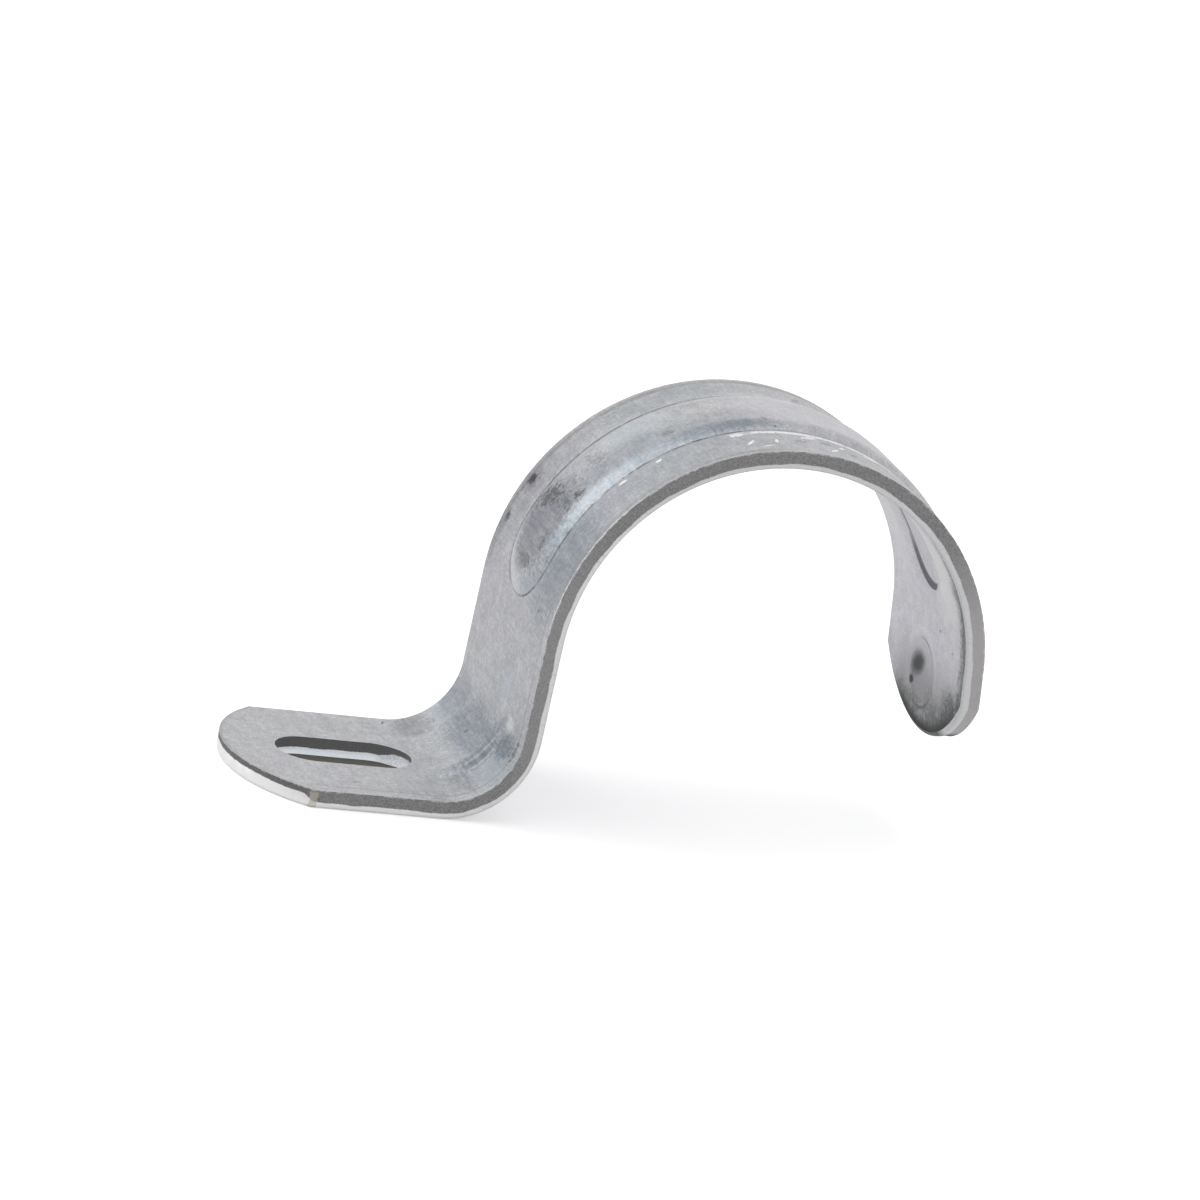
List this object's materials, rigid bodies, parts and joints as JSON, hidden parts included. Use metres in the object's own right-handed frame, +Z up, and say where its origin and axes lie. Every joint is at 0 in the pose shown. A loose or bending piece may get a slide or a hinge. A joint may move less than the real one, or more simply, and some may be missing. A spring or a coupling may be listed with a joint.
{
  "type": "conduit strap",
  "caption": "One-hole conduit strap: a bent strip of galvanised steel with a slotted foot, a ribbed arch that goes over a round conduit, and a short dimpled leg.",
  "frame": {"origin": "centre of the screw slot, on the underside of the foot, which is the surface the strap is screwed to", "axes": "+X from the foot towards the conduit, Y along the conduit, +Z up from the surface"},
  "size_m": [0.0586, 0.019, 0.0333],
  "materials": {
    "galvanised_steel": "dull grey zinc coating with mottling, light scratches and dark handling marks"
  },
  "bodies": {
    "root": {"strap": "galvanised_steel"}
  },
  "joints": []
}
